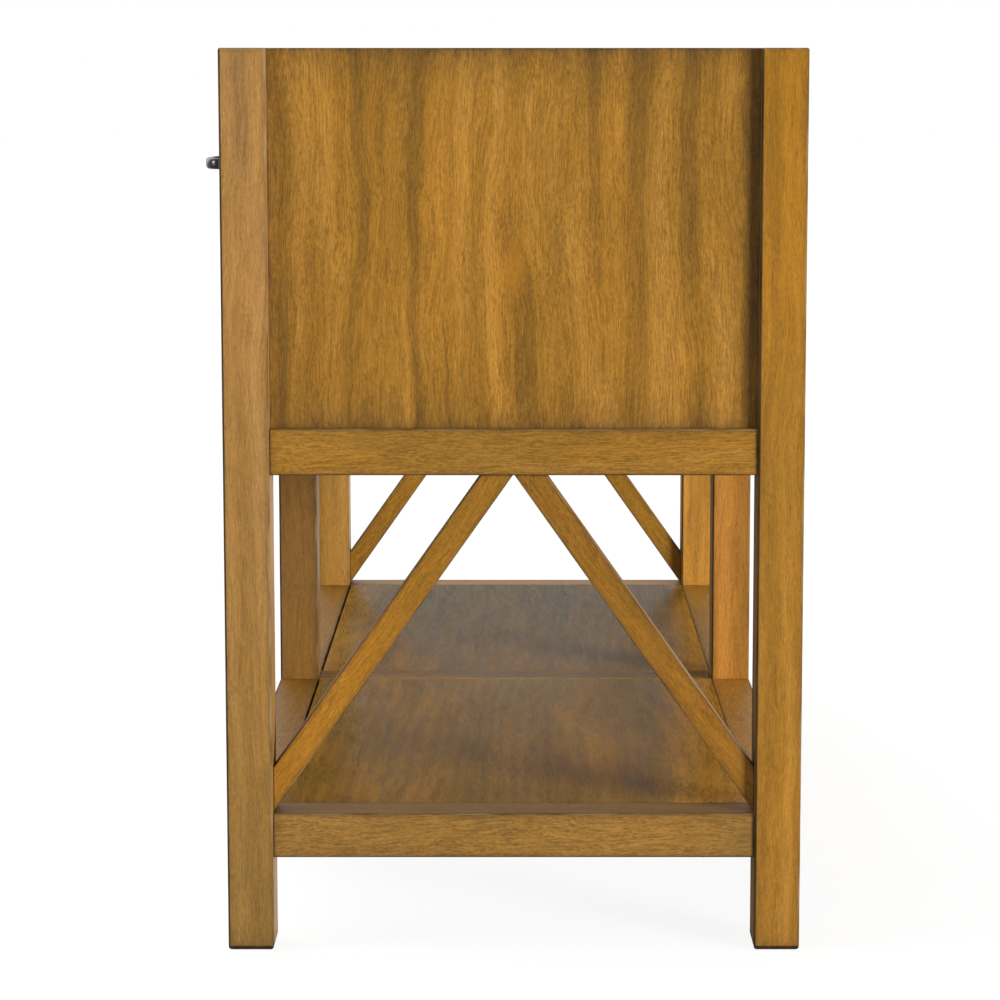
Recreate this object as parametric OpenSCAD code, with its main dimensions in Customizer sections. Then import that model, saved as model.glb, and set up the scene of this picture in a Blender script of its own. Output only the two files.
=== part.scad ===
// Vanity unit: a wooden cabinet with four drawers, on six legs with a low shelf between them.
// The front faces -Y. Left is -X and right is +X, as seen from the front.
// The origin is on the floor, at the centre of the whole unit with its pulls.

/* [Overall size] */
// Width over the corner legs
cab_w = 1219; // [1000:1:1600]
// Depth over the legs, without the pulls
cab_d = 550; // [480:1:650]
// Height from the floor to the open top
cab_h = 864; // [800:1:950]

/* [Legs] */
// Side of a square leg
leg_t = 44; // [40:1:60]
// Chamfer along the legs' long edges
leg_arris = 1.5; // [0.5:0.5:3]
// Chamfer round the foot of each leg
foot_ease = 2.5; // [1:0.5:5]

/* [Shelf base] */
// Height of the shelf's top from the floor
shelf_top = 134.5; // [100:0.5:220]
// Height of the rails round the shelf
shelf_rail_h = 43; // [36:1:60]
// Thickness of the shelf panels
shelf_t = 18; // [12:1:22]
// Open joint round each floating panel
panel_joint = 0.8; // [0.5:0.1:2]
// Side of the square cleats under the panels
cleat_t = 18; // [12:1:22]
// Set-back of the side rails from the legs' outer faces
rail_inset = 3; // [0:0.5:8]

/* [Side braces and panels] */
// Width of a brace across its face
brace_w = 25; // [18:1:40]
// Thickness of a brace
brace_t = 20; // [15:1:30]
// Set-back of the side panels and braces from the legs' outer faces
panel_inset = 10; // [8:0.5:14]
// Thickness of a side panel
panel_t = 12; // [9:1:15]
// Depth of the grooves in the legs for the side panels
groove_deep = 8; // [5:0.5:10]
// Depth of the groove in the upper side rail
sill_deep = 4; // [2:0.5:5]
// Clearance between a panel and its groove
groove_gap = 0.2; // [0.1:0.1:0.5]

/* [Case rails] */
// Height of the rails' undersides at the bottom of the case
case_z = 462.5; // [400:0.5:520]
// Height of the bottom rails of the case
case_rail_h = 44; // [36:1:60]
// Thickness of the rails of the front frame and the back
face_t = 22; // [20:1:24]
// Height of the top front rail
top_rail_h = 36; // [28:1:60]
// Height of the rail between the two rows of fronts
mid_rail_h = 20; // [18:1:32]
// Height of the top back rails, which are screwed to the wall
back_rail_h = 120; // [80:1:150]
// Thickness of the case's bottom panels
case_floor_t = 12; // [9:1:15]
// Distance of each wall screw from the middle of the cabinet
wall_screw_x = 203.2; // [150:0.1:400]
// Distance of the wall screws below the top
wall_screw_drop = 60; // [30:1:90]
// Radius of the wall screw holes
wall_screw_r = 2.75; // [2:0.25:4]

/* [Joinery] */
// Length of the stub tenons
tenon_l = 12; // [8:1:14]
// Thickness of the stub tenons
tenon_t = 10; // [6:1:12]
// Shoulder above and below each tenon
tenon_shoulder = 6; // [5.5:0.5:8]
// Clearance round a tenon in its mortise
mortise_gap = 0.2; // [0.1:0.1:0.4]
// Chamfer along the edges of rails and fronts
board_ease = 1; // [0.5:0.25:1.5]

/* [Dividers and blocks] */
// Clear width of each small drawer's opening
small_w = 262; // [220:1:320]
// Thickness of the dividers beside the sink space
divider_t = 20; // [16:1:28]
// Height of the cleats and the centre rail that carry the slides
slide_cleat_h = 60; // [50:1:80]
// Reach of each corner block along the frame
block_reach = 90; // [70:1:120]
// Thickness of the corner blocks
block_t = 18; // [15:1:25]
// Distance of a top's screw holes from the outer faces of the legs
top_screw_in = 64; // [58:1:70]
// Radius of the top's screw holes
top_screw_r = 2.5; // [2:0.25:3.5]
// Width of the glue blocks behind the sink's front
glue_block_w = 25; // [18:1:40]
// Height of the glue blocks behind the sink's front
glue_block_h = 90; // [50:5:110]

/* [Drawers] */
// Thickness of the drawer fronts and the sink's front
front_t = 20; // [18:1:22]
// Open joint round each inset front
front_gap = 2; // [1.5:0.25:3]
// Thickness of the drawer sides
box_t = 12; // [9:1:15]
// Height of the drawer boxes
box_h = 110; // [90:1:125]
// Depth of the drawer boxes, which leaves room behind for the waste pipes
box_d = 300; // [260:1:380]
// Height of the boxes' undersides above the opening
box_lift = 14; // [10:1:20]
// Thickness of the drawer bottoms
bottom_t = 6; // [4:0.5:9]
// Height of the drawer bottoms above the sides' lower edges
bottom_lift = 10; // [6:1:15]
// Depth of the grooves for the drawer bottoms
bottom_groove = 6; // [4:0.5:7]
// Clearance round a drawer bottom in its grooves
bottom_gap = 0.3; // [0.2:0.1:0.6]

/* [Drawer slides] */
// Room that a pair of slide members takes beside the drawer
slide_t = 12.7; // [12:0.1:14]
// Height of the cabinet member
slide_h = 45; // [35:1:48]
// Thickness of the slides' steel
slide_wall = 1.2; // [1:0.1:1.6]
// Running gap between the two members
slide_gap = 0.4; // [0.3:0.1:0.8]
// Height of the slides' middle above the box's underside
slide_mid = 40; // [30:1:60]
// Depth of the cabinet member's flanges
slide_flange = 10; // [8:0.5:11]

/* [Pulls] */
// Distance that a pull stands out from the fronts
pull_out = 31; // [25:0.5:40]
// Distance between a pull's screws
pull_centres = 96; // [64:32:160]
// Height of a pull at its feet
pull_foot_h = 11.5; // [11:0.5:16]
// Height of a pull at its nose
pull_nose_h = 10.6; // [8:0.1:11]
// Thickness of a pull's band
pull_band = 7; // [6:0.5:9]
// Length of a pull beyond each screw
pull_end = 6; // [5:0.5:9]
// Radius of the bow along the middle of a pull
pull_bow = 180; // [120:5:400]
// Radius of the bends at both ends of the bow
pull_bend = 14; // [9:0.5:18]
// Radius of the rounded edges of a pull's nose
pull_edge = 2.25; // [1.5:0.25:3.5]
// Radius of a pull's screws
screw_r = 2; // [1.75:0.25:2.5]
// Radius of the screw heads
screw_head_r = 4; // [3.5:0.25:5]
// Thickness of the screw heads
screw_head_t = 2.5; // [2:0.25:3.5]
// Length of the screws inside the pulls' feet
screw_bite = 9; // [6:0.5:12]
// Clearance round the screws
screw_gap = 0.25; // [0.2:0.05:0.5]

/* [Hidden] */

LEFT = -1;
RIGHT = 1;
FRONT = 0;
BACK = 1;
OAK = [0.64, 0.45, 0.2];
OAK_PALE = [0.72, 0.55, 0.33];
SHELF = [0.49, 0.37, 0.25];
PLY = [0.78, 0.66, 0.47];
BLACK_METAL = [0.1, 0.11, 0.11];
ZINC = [0.7, 0.71, 0.72];
// Chords in each quarter turn of an outline
ARC_STEPS = 6;
// Extra length of a cut that runs out of a face
CUT = 1;

front_y = -(cab_d - pull_out) / 2;
back_y = front_y + cab_d;
// Inner faces of the corner legs, and of the centre legs
corner_x = cab_w / 2 - leg_t;
centre_x = leg_t / 2;
inner_d = cab_d - 2 * leg_t;
shelf_z = shelf_top - shelf_rail_h;
case_top = case_z + case_rail_h;
top_rail_z = cab_h - top_rail_h;
row_h = (top_rail_z - case_top - mid_rail_h) / 2;
mid_rail_z = case_top + row_h;
top_row_z = mid_rail_z + mid_rail_h;
divider_x = corner_x - small_w - divider_t;
wide_w = corner_x - centre_x;
sink_w = 2 * divider_x;
side_rail_t = leg_t - rail_inset;
panel_back = panel_inset + panel_t;
// The slides are as long as the drawer boxes
slide_l = box_d;
small_slide_z = top_row_z + box_lift + slide_mid;
wide_slide_z = case_top + box_lift + slide_mid;
slide_v = face_t;
member_h = slide_h - 2 * (slide_wall + slide_gap);
// Each row of rails that is tenoned into the corner legs: height, depth and lowest edge
FRONT_RAILS = [[shelf_rail_h, leg_t, shelf_z], [case_rail_h, face_t, case_z],
               [mid_rail_h, face_t, mid_rail_z], [top_rail_h, face_t, top_rail_z]];
BACK_RAILS = [[shelf_rail_h, leg_t, shelf_z], [case_rail_h, face_t, case_z],
              [back_rail_h, face_t, cab_h - back_rail_h]];

// Points along an arc about c, from angle a to angle b
function arc(c, r, a, b) = [for (i = [0:ARC_STEPS]) let (t = a + (b - a) * i / ARC_STEPS)
    [c[0] + r * cos(t), c[1] + r * sin(t)]];

// Places a part built from x = 0 outwards on the right or the left of the cabinet
module on_side(side) {
    if (side == LEFT) mirror([1, 0, 0]) children();
    else children();
}

// Places a part whose y is measured from the cabinet's front or back face inwards
module from_face(end) {
    if (end == BACK) translate([0, back_y, 0]) mirror([0, 1, 0]) children();
    else translate([0, front_y, 0]) children();
}

// A rectangle with its four corners cut off
module eased_section(a, b, e) {
    polygon([[e, 0], [a - e, 0], [a, e], [a, b - e], [a - e, b], [e, b], [0, b - e], [0, e]]);
}

// A board from the origin, eased along its length, which is its x
module board_x(size, ease = board_ease) {
    rotate([90, 0, 90]) linear_extrude(size[0]) eased_section(size[1], size[2], ease);
}

// The same, with its length along y
module board_y(size, ease = board_ease) {
    translate([0, size[1], 0]) rotate([90, 0, 0])
        linear_extrude(size[1]) eased_section(size[0], size[2], ease);
}

// The same, with its length along z
module board_z(size, ease = board_ease) {
    linear_extrude(size[2]) eased_section(size[0], size[1], ease);
}

// A stub tenon on the end of a rail of height h and depth d, or its mortise with grow.
// It is centred on the shoulder, so that its other half lies in the rail.
module tenon_x(h, d, grow = 0) {
    reach = tenon_l + grow;
    translate([-reach, (d - tenon_t) / 2 - grow, tenon_shoulder - grow])
        cube([2 * reach, tenon_t + 2 * grow, h - 2 * tenon_shoulder + 2 * grow]);
}

// The same for a rail that runs along y
module tenon_y(h, d, grow = 0) {
    reach = tenon_l + grow;
    translate([(d - tenon_t) / 2 - grow, -reach, tenon_shoulder - grow])
        cube([tenon_t + 2 * grow, 2 * reach, h - 2 * tenon_shoulder + 2 * grow]);
}

// A rail along x from x0 to x1 at the face of the cabinet, with a tenon on each end
module rail_x(x0, x1, h, d, z) {
    translate([x0, 0, z]) board_x([x1 - x0, d, h]);
    for (x = [x0, x1]) translate([x, 0, z]) tenon_x(h, d);
}

// A rail along y between the front and back legs, with a tenon on each end
module rail_y(x, h, d, z) {
    translate([x, leg_t, z]) board_y([d, inner_d, h]);
    for (y = [leg_t, leg_t + inner_d]) translate([x, y, z]) tenon_y(h, d);
}

// A square leg of height h, from the origin
module leg_blank(h) {
    foot = [[foot_ease, 0], [leg_t - foot_ease, 0], [leg_t, foot_ease], [leg_t, h], [0, h], [0, foot_ease]];
    intersection() {
        linear_extrude(h) eased_section(leg_t, leg_t, leg_arris);
        rotate([90, 0, 90]) linear_extrude(leg_t) polygon(foot);
        translate([0, leg_t, 0]) rotate([90, 0, 0]) linear_extrude(leg_t) polygon(foot);
    }
}

// A corner leg with the mortises for its rails and the groove for the side panel
module corner_leg(end, side) {
    rails = end == FRONT ? FRONT_RAILS : BACK_RAILS;
    color(OAK) on_side(side) from_face(end) difference() {
        translate([corner_x, 0, 0]) leg_blank(cab_h);
        for (r = rails) translate([corner_x, 0, r[2]]) tenon_x(r[0], r[1], mortise_gap);
        for (z = [[shelf_rail_h, shelf_z], [case_rail_h, case_z]])
            translate([corner_x, leg_t, z[1]]) tenon_y(z[0], side_rail_t, mortise_gap);
        translate([cab_w / 2 - panel_back - groove_gap, leg_t - groove_deep, case_top - sill_deep])
            cube([panel_t + 2 * groove_gap, groove_deep + CUT, cab_h - case_top + sill_deep + CUT]);
    }
}

// A leg at the middle of the front or the back, with the mortises for its rails
module centre_leg(end) {
    rails = end == FRONT ? [FRONT_RAILS[0], FRONT_RAILS[1]] : BACK_RAILS;
    color(OAK) from_face(end) difference() {
        translate([-centre_x, 0, 0]) leg_blank(end == FRONT ? mid_rail_z : cab_h);
        for (side = [LEFT, RIGHT], r = rails)
            translate([side * centre_x, 0, r[2]]) tenon_x(r[0], r[1], mortise_gap);
        for (z = [[shelf_rail_h, shelf_z], [case_rail_h, case_z],
                  [slide_cleat_h, wide_slide_z - slide_cleat_h / 2]])
            translate([-centre_x, leg_t, z[1]]) tenon_y(z[0], leg_t, mortise_gap);
    }
}

// A rail between a side's two legs, level with the shelf
module lower_side_rail(side) {
    color(OAK) on_side(side) from_face(FRONT) rail_y(corner_x, shelf_rail_h, side_rail_t, shelf_z);
}

// The rail under a side panel, with the groove that the panel stands in
module upper_side_rail(side) {
    color(OAK) on_side(side) from_face(FRONT) difference() {
        rail_y(corner_x, case_rail_h, side_rail_t, case_z);
        translate([cab_w / 2 - panel_back - groove_gap, leg_t - tenon_l - CUT, case_top - sill_deep])
            cube([panel_t + 2 * groove_gap, inner_d + 2 * (tenon_l + CUT), sill_deep + CUT]);
    }
}

// An upright side panel, let into the legs and the upper rail
module side_panel(side) {
    into = groove_deep - groove_gap;
    color(OAK) on_side(side) from_face(FRONT)
        translate([cab_w / 2 - panel_back, leg_t - into, case_top - sill_deep])
            cube([panel_t, inner_d + 2 * into, cab_h - case_top + sill_deep]);
}

// A slanting brace from the foot of a leg to the middle of the upper side rail
module brace(end, side) {
    run = cab_d / 2 - leg_t;
    rise = case_z - shelf_top;
    slope = atan2(rise, run);
    outline = [[cab_d / 2, case_z], [cab_d / 2 - brace_w / sin(slope), case_z],
               [leg_t, shelf_top + brace_w / cos(slope)], [leg_t, shelf_top]];
    color(OAK_PALE) on_side(side) from_face(end)
        translate([cab_w / 2 - panel_inset - brace_t, 0, 0])
            rotate([90, 0, 90]) linear_extrude(brace_t) polygon(outline);
}

// The two rails along the front or back edge of the shelf
module shelf_rails(end) {
    color(OAK) for (side = [LEFT, RIGHT]) on_side(side) from_face(end)
        rail_x(centre_x, corner_x, shelf_rail_h, leg_t, shelf_z);
}

// The rail across the middle of the shelf
module shelf_cross_rail() {
    color(OAK) from_face(FRONT) rail_y(-centre_x, shelf_rail_h, leg_t, shelf_z);
}

// A shelf panel, level with the rails round it
module shelf_panel(side) {
    color(SHELF) on_side(side) from_face(FRONT)
        translate([centre_x + panel_joint, leg_t + panel_joint, shelf_top - shelf_t])
            cube([wide_w - 2 * panel_joint, inner_d - 2 * panel_joint, shelf_t]);
}

// Cleats along the front and back rails, set v in from the faces, under panels at height z
module cleats(v, z) {
    for (side = [LEFT, RIGHT], end = [FRONT, BACK])
        on_side(side) from_face(end) translate([centre_x, v, z - cleat_t])
            board_x([wide_w, cleat_t, cleat_t]);
}

module shelf_cleats() {
    color(OAK) cleats(leg_t, shelf_top - shelf_t);
}

module top_front_rail() {
    color(OAK) from_face(FRONT) rail_x(-corner_x, corner_x, top_rail_h, face_t, top_rail_z);
}

module mid_front_rail() {
    color(OAK) from_face(FRONT) rail_x(-corner_x, corner_x, mid_rail_h, face_t, mid_rail_z);
}

module bottom_rails(end) {
    color(OAK) for (side = [LEFT, RIGHT]) on_side(side) from_face(end)
        rail_x(centre_x, corner_x, case_rail_h, face_t, case_z);
}

// The two rails that the cabinet is screwed to the wall through
module top_back_rails() {
    color(OAK) for (side = [LEFT, RIGHT]) on_side(side) from_face(BACK) difference() {
        rail_x(centre_x, corner_x, back_rail_h, face_t, cab_h - back_rail_h);
        translate([wall_screw_x, -CUT, cab_h - wall_screw_drop]) rotate([-90, 0, 0])
            cylinder(h = face_t + 2 * CUT, r = wall_screw_r, $fn = 32);
    }
}

module case_cross_rail() {
    color(OAK) from_face(FRONT) rail_y(-centre_x, case_rail_h, leg_t, case_z);
}

// The panels that close the case from below, one each side of the cross rail
module case_bottom_panels() {
    color(PLY) for (side = [LEFT, RIGHT]) on_side(side) from_face(FRONT)
        translate([centre_x + panel_joint, face_t + panel_joint, case_z + cleat_t])
            cube([wide_w - 2 * panel_joint, cab_d - 2 * (face_t + panel_joint), case_floor_t]);
}

module case_bottom_cleats() {
    color(OAK) cleats(face_t, case_z + cleat_t);
}

// A divider between a small drawer and the space for the sink
module divider(side) {
    color(OAK) on_side(side) from_face(FRONT) translate([divider_x, 0, top_row_z])
        board_y([divider_t, cab_d - face_t, row_h]);
}

// The rail between the centre legs that carries a slide on each face
module centre_slide_rail() {
    color(OAK) from_face(FRONT)
        rail_y(-centre_x, slide_cleat_h, leg_t, wide_slide_z - slide_cleat_h / 2);
}

// Cleats between the corner legs that fill out the side panels for the slides
module side_slide_cleats() {
    color(OAK) for (side = [LEFT, RIGHT], z = [small_slide_z, wide_slide_z])
        on_side(side) from_face(FRONT) translate([corner_x, leg_t, z - slide_cleat_h / 2])
            board_y([leg_t - panel_back, inner_d, slide_cleat_h]);
}

// Blocks in the four top corners, drilled for the screws that hold a top down
module corner_blocks() {
    outline = [[corner_x, face_t], [corner_x, leg_t], [cab_w / 2 - panel_back, leg_t],
               [cab_w / 2 - panel_back, leg_t + block_reach], [corner_x - block_reach, face_t]];
    color(OAK) for (side = [LEFT, RIGHT], end = [FRONT, BACK])
        on_side(side) from_face(end) translate([0, 0, cab_h - block_t]) difference() {
            linear_extrude(block_t) polygon(outline);
            translate([cab_w / 2 - top_screw_in, top_screw_in, -CUT])
                cylinder(h = block_t + 2 * CUT, r = top_screw_r, $fn = 32);
        }
}

// The channel that is screwed to the case, from its web outwards, stopped at its back end
module cabinet_member() {
    h = slide_h / 2;
    w = slide_wall;
    channel = [[0, -h], [slide_flange, -h], [slide_flange, w - h], [w, w - h],
               [w, h - w], [slide_flange, h - w], [slide_flange, h], [0, h]];
    translate([0, slide_l, 0]) rotate([90, 0, 0]) linear_extrude(slide_l) polygon(channel);
    translate([0, slide_l - w, -h]) cube([slide_flange, w, slide_h]);
}

// The channel that is screwed to the drawer and runs inside the cabinet member
module drawer_member() {
    h = member_h / 2;
    w = slide_wall;
    near = slide_t - w;
    tip = w + 1;
    member_l = slide_l - w - slide_gap;
    channel = [[slide_t, -h], [tip, -h], [tip, w - h], [near, w - h],
               [near, h - w], [tip, h - w], [tip, h], [slide_t, h]];
    translate([0, member_l, 0]) rotate([90, 0, 0]) linear_extrude(member_l) polygon(channel);
}

// A left and a right slide member at the faces of an opening of width w
module slide_pair(w) {
    for (side = [LEFT, RIGHT]) translate([side * w / 2, slide_v, box_lift + slide_mid])
        mirror([side == RIGHT ? 1 : 0, 0, 0]) children();
}

// Moves a part from the middle of an opening's lower edge to the opening itself
module at_small(side) {
    translate([side * (corner_x - small_w / 2), front_y, top_row_z]) children();
}

module at_wide(side) {
    translate([side * (centre_x + wide_w / 2), front_y, case_top]) children();
}

module at_sink() {
    translate([0, front_y, top_row_z]) children();
}

module cabinet_slides() {
    color(ZINC) for (side = [LEFT, RIGHT]) {
        at_small(side) slide_pair(small_w) cabinet_member();
        at_wide(side) slide_pair(wide_w) cabinet_member();
    }
}

// Bores for a pull's two screws, through everything from v0 to v1
module screw_bores(v0, v1) {
    for (side = [LEFT, RIGHT]) translate([side * pull_centres / 2, v0, row_h / 2]) rotate([-90, 0, 0])
        cylinder(h = v1 - v0, r = screw_r + screw_gap, $fn = 32);
}

// An inset front for an opening of width w
module inset_front(w) {
    color(OAK) difference() {
        translate([front_gap - w / 2, 0, front_gap])
            board_x([w - 2 * front_gap, front_t, row_h - 2 * front_gap]);
        screw_bores(-CUT, front_t + CUT);
    }
}

// The glued box of a drawer for an opening of width w, grooved for its bottom
module drawer_box(w) {
    outer = w - 2 * slide_t;
    inner = outer - 2 * box_t;
    color(OAK_PALE) translate([0, front_t, box_lift]) difference() {
        translate([-outer / 2, 0, 0]) cube([outer, box_d, box_h]);
        translate([-inner / 2, box_t, -CUT]) cube([inner, box_d - 2 * box_t, box_h + 2 * CUT]);
        translate([-inner / 2 - bottom_groove, box_t - bottom_groove, bottom_lift])
            cube([inner + 2 * bottom_groove, box_d - 2 * (box_t - bottom_groove), bottom_t + bottom_gap]);
        translate([0, 0, -box_lift]) screw_bores(-CUT, box_t + CUT);
    }
}

// The drawer's bottom, which lies in the box's grooves
module drawer_bottom(w) {
    into = bottom_groove - bottom_gap;
    inner = w - 2 * (slide_t + box_t);
    color(PLY) translate([-inner / 2 - into, front_t + box_t - into, box_lift + bottom_lift])
        cube([inner + 2 * into, box_d - 2 * box_t + 2 * into, bottom_t]);
}

module drawer_slides(w) {
    color(ZINC) slide_pair(w) drawer_member();
}

// Points in the opposite order
function backwards(points) = [for (i = [len(points) - 1:-1:0]) points[i]];

// Points without their first
function tail(points) = [for (i = [1:len(points) - 1]) points[i]];

// Half of a bowed outline in plan, from its foot to the middle: a straight side at x = half,
// a bend of radius r, and the bow of radius big about [0, bow_v]
function half_bow(half, r, big, bow_v) = let (turn = asin((half - r) / (big - r)))
    concat([[half, 0]], arc([half - r, bow_v - (big - r) * cos(turn)], r, 0, turn - 90),
           tail(arc([0, bow_v], big, turn - 90, -90)));

// The other half of an outline that ends at x = 0, from there to its other foot
function other_half(points) = [for (p = tail(backwards(points))) [-p[0], p[1]]];

// An arch pull, and its two screws through a front that is grip thick
module pull(grip) {
    half = pull_centres / 2 + pull_end;
    bow_v = pull_bow - pull_out;
    outside = half_bow(half, pull_bend, pull_bow, bow_v);
    inside = half_bow(half - 2 * pull_end, pull_bend - pull_band, pull_bow - pull_band, bow_v);
    arch = concat(outside, other_half(outside), backwards(other_half(inside)), backwards(inside));
    // The band from its end, which narrows from its feet to a nose with rounded edges
    foot = pull_foot_h / 2;
    nose = pull_nose_h / 2;
    e = pull_edge;
    end_view = concat([[0, -foot]], backwards(arc([e - pull_out, e - nose], e, 180, 270)),
                      backwards(arc([e - pull_out, nose - e], e, 90, 180)), [[0, foot]]);
    color(BLACK_METAL) translate([0, 0, row_h / 2]) difference() {
        intersection() {
            translate([0, 0, -foot]) linear_extrude(pull_foot_h) polygon(arch);
            translate([-half, 0, 0]) rotate([90, 0, 90]) linear_extrude(2 * half) polygon(end_view);
        }
        translate([0, 0, -row_h / 2]) screw_bores(-screw_bite - screw_gap, CUT);
    }
    color(ZINC) for (side = [LEFT, RIGHT])
        translate([side * pull_centres / 2, -screw_bite, row_h / 2]) rotate([-90, 0, 0]) {
            cylinder(h = screw_bite + grip + screw_head_t, r = screw_r, $fn = 32);
            translate([0, 0, screw_bite + grip]) cylinder(h = screw_head_t, r = screw_head_r, $fn = 32);
        }
}

module sink_front() {
    at_sink() inset_front(sink_w);
}

// Blocks glued behind the ends of the sink's front and to the dividers
module sink_front_blocks() {
    color(OAK) for (side = [LEFT, RIGHT]) on_side(side) at_sink()
        translate([divider_x - glue_block_w, front_t, (row_h - glue_block_h) / 2])
            board_z([glue_block_w, glue_block_w, glue_block_h]);
}

module sink_front_pull() {
    at_sink() pull(front_t);
}

corner_leg(FRONT, LEFT);  // leg_front_left
corner_leg(FRONT, RIGHT);  // leg_front_right
centre_leg(FRONT);  // leg_front_centre
corner_leg(BACK, LEFT);  // leg_back_left
corner_leg(BACK, RIGHT);  // leg_back_right
centre_leg(BACK);  // leg_back_centre
lower_side_rail(LEFT);  // lower_side_rail_left
lower_side_rail(RIGHT);  // lower_side_rail_right
upper_side_rail(LEFT);  // upper_side_rail_left
upper_side_rail(RIGHT);  // upper_side_rail_right
side_panel(LEFT);  // side_panel_left
side_panel(RIGHT);  // side_panel_right
brace(FRONT, LEFT);  // brace_front_left
brace(FRONT, RIGHT);  // brace_front_right
brace(BACK, LEFT);  // brace_back_left
brace(BACK, RIGHT);  // brace_back_right
shelf_rails(FRONT);  // shelf_front_rails
shelf_rails(BACK);  // shelf_back_rails
shelf_cross_rail();
shelf_panel(LEFT);  // shelf_panel_left
shelf_panel(RIGHT);  // shelf_panel_right
shelf_cleats();
top_front_rail();
mid_front_rail();
bottom_rails(FRONT);  // bottom_front_rails
top_back_rails();
bottom_rails(BACK);  // bottom_back_rails
case_cross_rail();
case_bottom_panels();
case_bottom_cleats();
divider(LEFT);  // divider_left
divider(RIGHT);  // divider_right
centre_slide_rail();
side_slide_cleats();
corner_blocks();
cabinet_slides();
sink_front();
sink_front_blocks();
sink_front_pull();
at_small(LEFT) inset_front(small_w);  // small_left_front
at_small(LEFT) drawer_box(small_w);  // small_left_box
at_small(LEFT) drawer_bottom(small_w);  // small_left_bottom
at_small(LEFT) drawer_slides(small_w);  // small_left_slides
at_small(LEFT) pull(front_t + box_t);  // small_left_pull
at_small(RIGHT) inset_front(small_w);  // small_right_front
at_small(RIGHT) drawer_box(small_w);  // small_right_box
at_small(RIGHT) drawer_bottom(small_w);  // small_right_bottom
at_small(RIGHT) drawer_slides(small_w);  // small_right_slides
at_small(RIGHT) pull(front_t + box_t);  // small_right_pull
at_wide(LEFT) inset_front(wide_w);  // wide_left_front
at_wide(LEFT) drawer_box(wide_w);  // wide_left_box
at_wide(LEFT) drawer_bottom(wide_w);  // wide_left_bottom
at_wide(LEFT) drawer_slides(wide_w);  // wide_left_slides
at_wide(LEFT) pull(front_t + box_t);  // wide_left_pull
at_wide(RIGHT) inset_front(wide_w);  // wide_right_front
at_wide(RIGHT) drawer_box(wide_w);  // wide_right_box
at_wide(RIGHT) drawer_bottom(wide_w);  // wide_right_bottom
at_wide(RIGHT) drawer_slides(wide_w);  // wide_right_slides
at_wide(RIGHT) pull(front_t + box_t);  // wide_right_pull
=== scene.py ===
import bmesh
import bpy
import math
import numpy
import random
from mathutils import Matrix, Vector


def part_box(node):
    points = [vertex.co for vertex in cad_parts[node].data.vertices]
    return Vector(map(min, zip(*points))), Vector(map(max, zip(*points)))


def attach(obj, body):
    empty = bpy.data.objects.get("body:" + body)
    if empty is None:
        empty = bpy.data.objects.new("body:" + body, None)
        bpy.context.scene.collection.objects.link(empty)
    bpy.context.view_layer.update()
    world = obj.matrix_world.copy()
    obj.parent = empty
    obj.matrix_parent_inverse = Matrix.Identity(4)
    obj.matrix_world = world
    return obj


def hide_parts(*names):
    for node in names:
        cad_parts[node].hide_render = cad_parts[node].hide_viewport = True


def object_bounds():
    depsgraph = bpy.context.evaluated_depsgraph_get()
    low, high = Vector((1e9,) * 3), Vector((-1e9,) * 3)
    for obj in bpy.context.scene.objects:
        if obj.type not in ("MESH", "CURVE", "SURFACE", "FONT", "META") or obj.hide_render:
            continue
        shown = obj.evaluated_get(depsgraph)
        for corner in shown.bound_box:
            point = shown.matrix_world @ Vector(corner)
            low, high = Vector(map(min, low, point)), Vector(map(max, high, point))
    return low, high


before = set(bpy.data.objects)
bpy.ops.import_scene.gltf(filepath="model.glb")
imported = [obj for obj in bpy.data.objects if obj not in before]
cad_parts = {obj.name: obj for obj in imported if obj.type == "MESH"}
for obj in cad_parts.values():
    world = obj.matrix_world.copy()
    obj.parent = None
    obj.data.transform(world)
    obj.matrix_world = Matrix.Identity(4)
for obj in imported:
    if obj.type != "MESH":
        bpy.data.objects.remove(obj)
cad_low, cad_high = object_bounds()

X, Y, Z = Vector((1, 0, 0)), Vector((0, 1, 0)), Vector((0, 0, 1))
CABINET = "cabinet"

# Sizes of boards and joints that the CAD boxes don't give, in metres
LEG_SIDE = 0.044
FACE_RAIL = 0.022
BRACE_WIDTH = 0.025
FRONT_THICK = 0.02
BOX_THICK = 0.012
TENON = 0.012
GROOVE = 0.008
SILL = 0.004
PANEL_LAP = 0.001
PANEL_JOINT = 0.0008
FRONT_JOINT = 0.0018

# Rounded edges, and how they are shaded
LEG_ARRIS = 0.002
BOARD_ARRIS = 0.001
THIN_ARRIS = 0.0005
CLOSE_ARRIS = 0.0002
FOOT_EASE = 0.005
ROUND_STEPS = 3
SMOOTH_ANGLE = math.radians(35)

# Holes for the wall screws and the top's screws
WALL_SCREW = {"off_middle": 0.2032, "below_top": 0.06, "radius": 0.00275}
TOP_SCREW = {"inset": 0.064, "radius": 0.0025}

# The pull: its screws' spacing, half an end's thickness, how far it stands out, its band's depth, the radii
# of its bow and its bends with their steps, and its height at the foot and at the nose
PULL = {"centres": 0.096, "end": 0.006, "out": 0.031, "band": 0.007, "bow": 0.18, "bow_steps": 10,
        "bend": 0.019, "bend_steps": 8, "foot": 0.0115, "nose": 0.0106}

# The rounding of the pull's outer and inner edges, its steps, and how full the curve is
PULL_EDGES = ((0.0047, 9, 0.68), (0.001, 3, 0.5))

# Its screws: radius, thickness and rounding of the head, the shank and its bite, and each cross slot's size
SCREW = {"head": 0.004, "thick": 0.0025, "rounding": 0.45, "shank": 0.002, "bite": 0.009,
         "slot": (0.0009, 0.0046, 0.0024)}

# What counts as touching, and the cosines from which a face is flat, end grain, facing or turned
TOUCH = 0.00002
FLAT = 0.985
END_ON = 0.8
FACING = 0.95
TURNED = 0.25

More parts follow.
